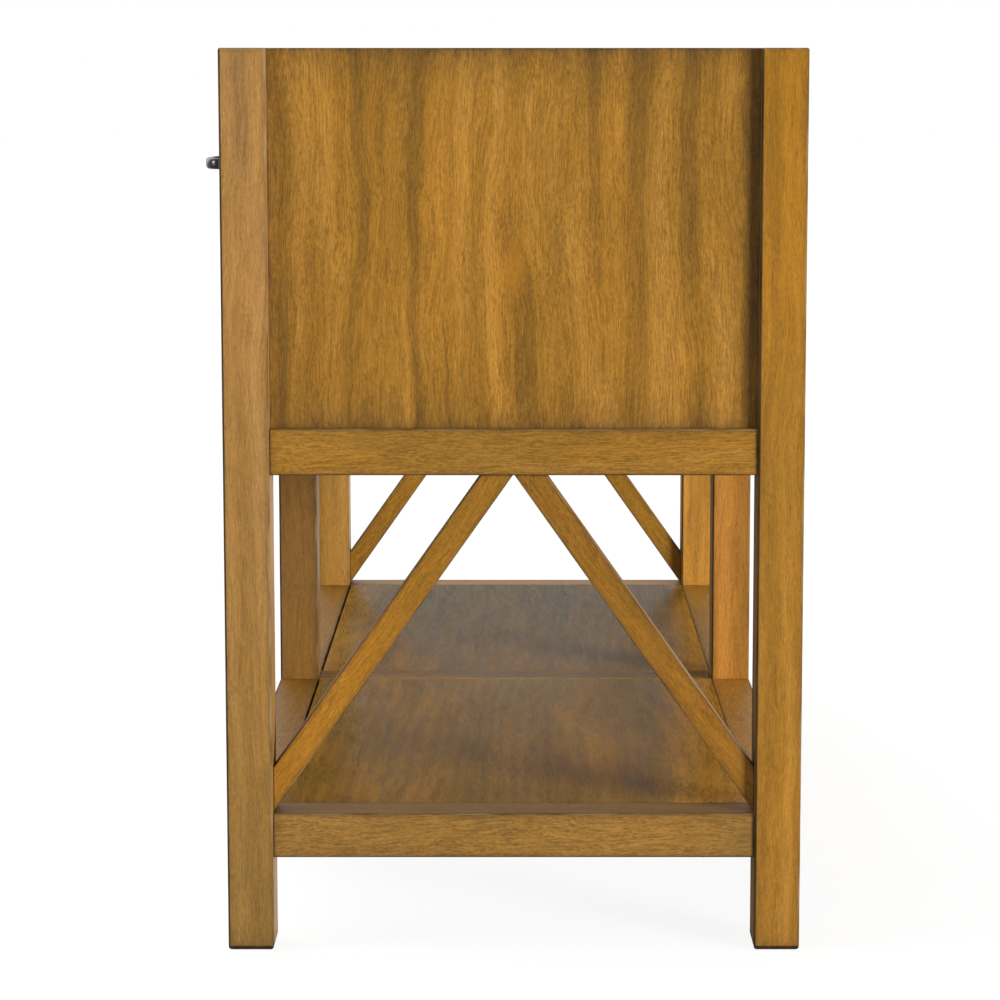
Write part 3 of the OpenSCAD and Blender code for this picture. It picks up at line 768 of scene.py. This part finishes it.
def cut_away(board, cutter):
    """Takes one shape out of another, and removes the cutter."""
    bpy.ops.object.select_all(action="DESELECT")
    bpy.context.view_layer.objects.active = board
    cut = board.modifiers.new("cut", "BOOLEAN")
    cut.operation = "DIFFERENCE"
    cut.solver = "EXACT"
    cut.object = cutter
    bpy.ops.object.modifier_apply(modifier="cut")
    bpy.data.objects.remove(cutter)


def bore(board, middle, direction, radius, length):
    """A round hole through a board."""
    cut_away(board, add_rod(middle, direction.to_track_quat("Z", "Y").to_euler(), radius, length))


def join_parts(parts):
    """Joins some parts to the first of them."""
    bpy.ops.object.select_all(action="DESELECT")
    for part in parts:
        part.select_set(True)
    bpy.context.view_layer.objects.active = parts[0]
    if len(parts) > 1:
        bpy.ops.object.join()
    return parts[0]


def smooth_piece(piece):
    """Smooth shading over the rounded edges, with the flat faces kept flat."""
    bpy.ops.object.select_all(action="DESELECT")
    piece.select_set(True)
    bpy.context.view_layer.objects.active = piece
    bpy.ops.object.shade_smooth_by_angle(angle=SMOOTH_ANGLE)
    weighted = piece.modifiers.new("weighted", "WEIGHTED_NORMAL")
    weighted.keep_sharp = True
    bpy.ops.object.modifier_apply(modifier="weighted")


def finish_piece(name, parts, material, slot, body, *nodes):
    """Joins the parts of a piece, gives it its finish, and lets it stand for its CAD nodes."""
    piece = join_parts(parts)
    smooth_piece(piece)
    piece.name = name
    piece.data.name = name
    piece.data.materials.clear()
    piece.data.materials.append(MATERIALS[material])
    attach(piece, body)
    if nodes:
        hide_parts(*nodes)


def finish_frame(node, parts, material="rail"):
    """Finishes a piece of the oak frame."""
    finish_piece(node + "_timber", parts, material, "oak_frame", CABINET, node)


def boards_of(node, along, tenoned=None):
    """The finished boards of one CAD node, without their tenons."""
    boards = []
    for number, box in enumerate(boards_in(node)):
        if tenoned is not None:
            box = shortened(box, tenoned, TENON)
        boards.append(sawn_board(*box, along, f"{node}{number}"))
    return boards


# Legs and the side frames
def make_legs():
    for node in [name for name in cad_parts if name.startswith("leg_")]:
        finish_frame(node, [sawn_board(*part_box(node), Z, node, LEG_ARRIS, FOOT_EASE)], "leg")


def make_side_rails():
    for side in ("left", "right"):
        for level in ("lower", "upper"):
            node = f"{level}_side_rail_{side}"
            finish_frame(node, [sawn_board(*shortened(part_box(node), 1, TENON), Y, node)])


def make_side_panels():
    for side in ("left", "right"):
        node = f"side_panel_{side}"
        low, high = shortened(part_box(node), 1, GROOVE - PANEL_LAP)
        low.z += SILL - PANEL_LAP
        panel = sawn_board(low, high, Z, node, THIN_ARRIS)
        finish_piece(node + "_board", [panel], "panel", "oak_panel", CABINET, node)


def make_brace(node, lean):
    """A slanted bar, sawn level under the rail and upright at its leg. A front one has a positive lean."""
    low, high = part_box(node)
    slope = math.atan2(high.z - low.z, high.y - low.y)
    along = Vector((0, lean * math.cos(slope), math.sin(slope)))
    outward = Vector((0, -lean * math.sin(slope), math.cos(slope)))
    middle = (low + high) / 2
    size = (high.x - low.x, (high - low).length + 4 * BRACE_WIDTH, BRACE_WIDTH)
    bpy.ops.mesh.primitive_cube_add(size=1, location=middle + outward * BRACE_WIDTH / 2,
                                    rotation=(lean * slope, 0, 0), scale=size)
    brace = just_added()
    under_rail = (Z, high.z)
    at_leg = (-Y, -low.y) if lean > 0 else (Y, high.y)
    faces = [(X, high.x), (-X, -low.x), under_rail, at_leg,
             (-outward, -outward.dot(middle)), (outward, outward.dot(middle) + BRACE_WIDTH)]
    saw_off(under_rail, at_leg)
    ease_board(brace, faces, BOARD_ARRIS)
    lay_grain(brace, faces, along, node)
    finish_piece(node + "_bar", [brace], "brace", "oak_brace", CABINET, node)


def make_braces():
    for side in ("left", "right"):
        make_brace(f"brace_front_{side}", 1)
        make_brace(f"brace_back_{side}", -1)


# The shelf
def make_shelf_rails():
    for node in ("shelf_front_rails", "shelf_back_rails"):
        finish_frame(node, boards_of(node, X, 0))
    node = "shelf_cross_rail"
    finish_frame(node, [sawn_board(*shortened(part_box(node), 1, TENON), Y, node)], "shelf")


def make_shelf_panels():
    """Each panel meets its rails closely, but for the open joint along the front."""
    for side in ("left", "right"):
        node = f"shelf_panel_{side}"
        low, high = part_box(node)
        low -= Vector((PANEL_JOINT, -FRONT_JOINT, 0))
        high += Vector((PANEL_JOINT, PANEL_JOINT, 0))
        panel = sawn_board(low, high, X, node, CLOSE_ARRIS)
        finish_piece(node + "_board", [panel], "shelf", "shelf_board", CABINET, node)


# Plain boards of the case: CAD node of one or more boards, length axis and tenon axis
CASE_BOARDS = [
    ("shelf_cleats", X, None),
    ("top_front_rail", X, 0),
    ("mid_front_rail", X, 0),
    ("bottom_front_rails", X, 0),
    ("bottom_back_rails", X, 0),
    ("case_cross_rail", Y, 1),
    ("case_bottom_panels", X, None),
    ("case_bottom_cleats", X, None),
    ("divider_left", Y, None),
    ("divider_right", Y, None),
    ("centre_slide_rail", Y, 1),
    ("side_slide_cleats", Y, None),
    ("sink_front_blocks", Z, None),
]


def make_case_boards():
    for node, along, tenoned in CASE_BOARDS:
        finish = ("ply", "plywood") if node == "case_bottom_panels" else ("rail", "oak_frame")
        finish_piece(node + "_timber", boards_of(node, along, tenoned), *finish, CABINET, node)


def make_wall_rails():
    """The top back rails, each bored for a wall screw."""
    rails = []
    for number, box in enumerate(boards_in("top_back_rails")):
        low, high = shortened(box, 0, TENON)
        rail = add_block(low, high)
        faces = box_faces(low, high)
        ease_board(rail, faces, BOARD_ARRIS)
        across = (-1 if high.x < 0 else 1) * WALL_SCREW["off_middle"]
        middle = Vector((across, (low.y + high.y) / 2, high.z - WALL_SCREW["below_top"]))
        bore(rail, middle, Y, WALL_SCREW["radius"], 3 * FACE_RAIL)
        lay_grain(rail, faces, X, f"top_back_rails{number}")
        rails.append(rail)
    finish_frame("top_back_rails", rails)


def leg_room(low, high, side, end, face_y):
    """The room that a leg takes out of a corner block."""
    far_x = high.x if side > 0 else low.x
    inner = Vector((side * (cad_high.x - LEG_SIDE), face_y - end * LEG_SIDE, low.z - LEG_SIDE))
    outer = Vector((far_x + side * LEG_SIDE, face_y, high.z + LEG_SIDE))
    return add_block(Vector([min(values) for values in zip(inner, outer)]),
                     Vector([max(values) for values in zip(inner, outer)]))


def make_corner_block(low, high, number):
    """A block sawn off across its corner, notched round the leg, and bored for the top's screw."""
    side = 1 if low.x > 0 else -1
    end = 1 if low.y > 0 else -1
    start = Vector((low.x if side > 0 else high.x, high.y if end > 0 else low.y, 0))
    stop = Vector((high.x if side > 0 else low.x, low.y if end > 0 else high.y, 0))
    slant = Vector((-(stop - start).y, (stop - start).x, 0)).normalized()
    if slant.dot(Vector((side, end, 0))) > 0:
        slant = -slant
    sawn = (slant, slant.dot(start))
    faces = box_faces(low, high) + [sawn]
    block = add_block(low, high)
    saw_off(sawn)
    ease_board(block, faces, BOARD_ARRIS)
    face_y = cad_high.y if end > 0 else cad_low.y + PULL["out"]
    cut_away(block, leg_room(low, high, side, end, face_y))
    inset = TOP_SCREW["inset"]
    screw = Vector((side * (cad_high.x - inset), face_y - end * inset, (low.z + high.z) / 2))
    bore(block, screw, Z, TOP_SCREW["radius"], 4 * (high.z - low.z))
    lay_grain(block, faces, Vector((side, -end, 0)).normalized(), f"corner_block{number}")
    return block


def make_corner_blocks():
    blocks = [make_corner_block(*box, number) for number, box in enumerate(boards_in("corner_blocks"))]
    finish_frame("corner_blocks", blocks)


# Drawers and the sink's front
def opening_bodies():
    """Each front's name, its body, and how far behind its face the heads of the pull's screws sit."""
    rows = [("sink_front", CABINET, FRONT_THICK)]
    for kind in ("small", "wide"):
        for side in ("left", "right"):
            rows.append((f"{kind}_{side}", f"{kind}_drawer_{side}", FRONT_THICK + BOX_THICK))
    return rows


def make_front(name, body):
    node = name if name == "sink_front" else name + "_front"
    front = sawn_board(*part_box(node), X, node)
    finish_piece(node + "_board", [front], "front", "oak_front", body, node)


def make_drawer_box(name, body):
    """Four boards, with the front and back between the sides, and the bottom let in between them."""
    node = name + "_box"
    low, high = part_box(node)
    in_low = Vector((low.x + BOX_THICK, low.y + BOX_THICK, low.z))
    in_high = Vector((high.x - BOX_THICK, high.y - BOX_THICK, high.z))
    boards = (
        (low, Vector((in_low.x, high.y, high.z)), Y),
        (Vector((in_high.x, low.y, low.z)), high, Y),
        (Vector((in_low.x, low.y, low.z)), Vector((in_high.x, in_low.y, high.z)), X),
        (Vector((in_low.x, in_high.y, low.z)), Vector((in_high.x, high.y, high.z)), X),
    )
    parts = []
    for number, (start, stop, along) in enumerate(boards):
        parts.append(sawn_board(start, stop, along, f"{node}{number}", THIN_ARRIS))
    finish_piece(node + "_timber", parts, "box", "box_wood", body, node)
    bottom = sawn_board(*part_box(name + "_bottom"), Y, name + "_bottom", THIN_ARRIS)
    finish_piece(name + "_bottom_board", [bottom], "ply", "plywood", body, name + "_bottom")


def make_openings():
    for name, body, grip in opening_bodies():
        make_front(name, body)
        if name != "sink_front":
            make_drawer_box(name, body)


# Pulls
def arc_points(middle, radius, start, stop, steps):
    """Points along an arc, its two ends among them."""
    made = []
    for step in range(steps + 1):
        angle = start + (stop - start) * step / steps
        made.append(Vector((middle[0] + radius * math.cos(angle), middle[1] + radius * math.sin(angle))))
    return made


def half_outline(half, bend, bow, bow_middle):
    """Half of a pull's outline in plan, from a foot to the middle of its bow."""
    turn = math.asin((half - bend) / (bow - bend))
    corner = (half - bend, bow_middle - (bow - bend) * math.cos(turn))
    quarter = math.pi / 2
    return ([Vector((half, 0))] + arc_points(corner, bend, 0, turn - quarter, PULL["bend_steps"])
            + arc_points((0, bow_middle), bow, turn - quarter, -quarter, PULL["bow_steps"])[1:])


def pull_stations():
    """The outer and the inner point of each section along a pull, from its right foot to its left."""
    end, band, bend, bow = PULL["end"], PULL["band"], PULL["bend"], PULL["bow"]
    half = PULL["centres"] / 2 + end
    bow_middle = bow - PULL["out"]
    outer = half_outline(half, bend, bow, bow_middle)
    inner = half_outline(half - 2 * end, bend - band, bow - band, bow_middle)
    right = list(zip(outer, inner))
    left = [(Vector((-a.x, a.y)), Vector((-b.x, b.y))) for a, b in reversed(right[:-1])]
    return right + left


def section_height(outer):
    """The height of a pull's band at a distance out from the front."""
    rounding = PULL_EDGES[0][0]
    share = min(1.0, -outer.y / (PULL["out"] - rounding))
    return PULL["foot"] + (PULL["nose"] - PULL["foot"]) * share


def draw_on(before, after):
    """Draws the selected end of the band from one station to the next, and turns and sizes it."""
    new = (after[0] + after[1]) / 2
    step = new - (before[0] + before[1]) / 2
    old_edge, new_edge = before[0] - before[1], after[0] - after[1]
    turn = old_edge.angle_signed(new_edge)
    place = (new.x, new.y, 0)
    bpy.ops.mesh.extrude_region_move(TRANSFORM_OT_translate={"value": (step.x, step.y, 0)})
    bpy.ops.transform.rotate(value=turn, orient_axis="Z", center_override=place)
    high = section_height(after[0]) / section_height(before[0])
    bpy.ops.transform.resize(value=(1, 1, high), center_override=place)
    wide = new_edge.length / old_edge.length
    way = new_edge.normalized()
    bpy.ops.transform.resize(value=(wide, 1, 1), center_override=place, orient_type="GLOBAL",
                             orient_matrix=((way.x, way.y, 0), (-way.y, way.x, 0), (0, 0, 1)),
                             orient_matrix_type="GLOBAL")


def sweep_band(stations):
    """Draws a square section out from one foot, and on round the bow to the other."""
    first, second = stations[0]
    middle = (first + second) / 2
    bpy.ops.mesh.primitive_plane_add(size=1, location=(middle.x, middle.y, 0), rotation=(math.pi / 2, 0, 0))
    bpy.context.active_object.scale = ((first - second).length, section_height(first), 1)
    band = just_added()
    bpy.ops.object.mode_set(mode="EDIT")
    bpy.ops.mesh.select_all(action="SELECT")
    for before, after in zip(stations, stations[1:]):
        draw_on(before, after)
    bpy.ops.mesh.select_all(action="SELECT")
    bpy.ops.mesh.normals_make_consistent(inside=False)
    return band


def model_pull():
    """The arch pull, modelled once at the origin, with its outer edges rounded like a pebble."""
    stations = pull_stations()
    band = sweep_band(stations)

    def near(point, side):
        return min((station[side] - point.xy).length for station in stations) < TOUCH

    for side, (rounding, steps, fullness) in enumerate(PULL_EDGES):
        pick_edges(band, lambda a, b: near(a, side) and near(b, side) and (a.xy - b.xy).length > TOUCH)
        bpy.ops.mesh.bevel(offset=rounding, segments=steps, profile=fullness, affect="EDGES")
    bpy.ops.object.mode_set(mode="OBJECT")
    smooth_piece(band)
    return band


def model_screw(grip):
    """A pan-head screw with a cross recess, its head behind a front of one thickness."""
    thick, bite = SCREW["thick"], SCREW["bite"]
    back = grip + thick
    turn = (-math.pi / 2, 0, 0)
    screw = add_rod((0, grip + thick / 2, 0), turn, SCREW["head"], thick)
    bpy.ops.object.mode_set(mode="EDIT")
    pick_edges(screw, lambda a, b: abs(a.y - back) < TOUCH and abs(b.y - back) < TOUCH)
    bpy.ops.mesh.bevel(offset=SCREW["rounding"] * thick, segments=4, affect="EDGES")
    bpy.ops.object.mode_set(mode="OBJECT")
    middle = Vector((0, back, 0))
    wide, long, deep = SCREW["slot"]
    for half in (Vector((long, deep, wide)) / 2, Vector((wide, deep, long)) / 2):
        cut_away(screw, add_block(middle - half, middle + half))
    shank = add_rod((0, (grip - bite) / 2, 0), turn, SCREW["shank"], grip + bite, 24)
    join_parts([screw, shank])
    smooth_piece(screw)
    return screw


def place_copy(model, place):
    """A copy with its own mesh, moved in the mesh."""
    made = model.copy()
    made.data = model.data.copy()
    made.data.transform(Matrix.Translation(place))
    bpy.context.scene.collection.objects.link(made)
    return made


def make_pulls():
    """A pull and its two screws on each front."""
    pull = model_pull()
    screws = {grip: model_screw(grip) for grip in (FRONT_THICK, FRONT_THICK + BOX_THICK)}
    for name, body, grip in opening_bodies():
        node = name + "_pull"
        low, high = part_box(node)
        place = Vector(((low.x + high.x) / 2, low.y + PULL["out"], (low.z + high.z) / 2))
        finish_piece(node + "_bar", [place_copy(pull, place)], "black", "black_metal", body, node)
        pair = []
        for side in (-1, 1):
            pair.append(place_copy(screws[grip], place + side * X * PULL["centres"] / 2))
        finish_piece(node + "_screws", pair, "zinc", "zinc_steel", body)
    for model in (pull, *screws.values()):
        bpy.data.objects.remove(model)


def plate_slides():
    """Zinc on the CAD's own drawer slides."""
    for node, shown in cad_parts.items():
        if node.endswith("slides"):
            for place in shown.material_slots:
                place.material = MATERIALS["zinc"]


# Lamps: where each shines from, its strength, its spread in degrees, and whether glossy things mirror it
SUNS = {
    "key": ((0.612, 0.784, 0.105), 5.15, 20, False),
    "fill": ((-0.24, -0.97, 0.25), 1.2, 90, True),
    "far_side": ((-0.72, -0.62, 0.4), 1.2, 56, True),
    "overhead": ((0.0, -0.2, 1.0), 0.6, 40, True),
    "glint": ((0.24, -0.97, 0.07), 1.7, 18, True),
}

# The light from all round, and the floor: its size, how far below the feet it is, its grey, and its glow
ROOM_LIGHT = 0.14
FLOOR = {"size": 60, "drop": 0.0002, "grey": 0.45, "glow": 1.12, "glow_share": 0.8}

# The side view: a long lens, its shift in parts of the sensor, its place, and how many degrees it looks down
CAMERA = {"sensor": 36.0, "lens": 97.05, "shift": (-0.0191, -0.12), "place": (3.1305, 0.0206, 0.8369),
          "pitch": 6.41}


# Light, floor and camera
def seen_rays(tree):
    """One for a ray of the camera, of a reflection or of glass, and zero for light that falls on things."""
    path = put(tree, "LightPath")
    seen = calc(tree, "MAXIMUM", path.outputs["Is Camera Ray"], path.outputs["Is Glossy Ray"])
    return calc(tree, "MAXIMUM", seen, path.outputs["Is Transmission Ray"])


def make_world():
    """White to look at, and a dim even light on things."""
    world = bpy.data.worlds.new("studio")
    bpy.context.scene.world = world
    world.use_nodes = True
    tree = world.node_tree
    background = tree.nodes["Background"]
    background.inputs["Color"].default_value = (1, 1, 1, 1)
    tree.links.new(remap(tree, seen_rays(tree), 0.0, 1.0, ROOM_LIGHT, 1.0), background.inputs["Strength"])


def make_floor():
    """A white floor that keeps the cabinet's soft shadow."""
    bpy.ops.mesh.primitive_plane_add(size=FLOOR["size"], location=(0, 0, -FLOOR["drop"]))
    floor = just_added()
    floor.name = "floor"
    material = bpy.data.materials.new("floor_white")
    material.use_nodes = True
    tree = material.node_tree
    tree.nodes.clear()
    seen = seen_rays(tree)
    grey = FLOOR["grey"]
    white = tint(tree, seen, (grey, grey, grey, 1), (1, 1, 1, 1))
    paint = put(tree, "BsdfDiffuse", {"Color": white}).outputs[0]
    glow = put(tree, "Emission", {"Color": (1, 1, 1, 1), "Strength": FLOOR["glow"]}).outputs[0]
    share = calc(tree, "MULTIPLY", seen, FLOOR["glow_share"])
    mixed = put(tree, "MixShader", {0: share, 1: paint, 2: glow}).outputs[0]
    put(tree, "OutputMaterial", {"Surface": mixed})
    floor.data.materials.append(material)


def make_suns():
    """Distant soft lights."""
    for name, (towards, strength, spread, mirrored) in SUNS.items():
        lamp = bpy.data.lights.new(name, "SUN")
        lamp.energy = strength
        lamp.angle = math.radians(spread)
        sun = bpy.data.objects.new(name, lamp)
        sun.visible_glossy = mirrored
        sun.rotation_euler = Vector(towards).to_track_quat("Z", "Y").to_euler()
        bpy.context.scene.collection.objects.link(sun)


def make_camera():
    """A long lens at the height of the cabinet's top, square on to its right-hand side."""
    lens = bpy.data.cameras.new("side_view")
    lens.sensor_width = CAMERA["sensor"]
    lens.lens = CAMERA["lens"]
    lens.shift_x, lens.shift_y = CAMERA["shift"]
    camera = bpy.data.objects.new("side_view", lens)
    camera.location = CAMERA["place"]
    camera.rotation_euler = (math.radians(90 - CAMERA["pitch"]), 0, math.radians(90))
    bpy.context.scene.collection.objects.link(camera)
    bpy.context.scene.camera = camera


make_legs()
make_side_rails()
make_side_panels()
make_braces()
make_shelf_rails()
make_shelf_panels()
make_case_boards()
make_wall_rails()
make_corner_blocks()
make_openings()
make_pulls()
plate_slides()

make_world()
make_floor()
make_suns()
make_camera()
bpy.context.scene.view_settings.view_transform = "Standard"
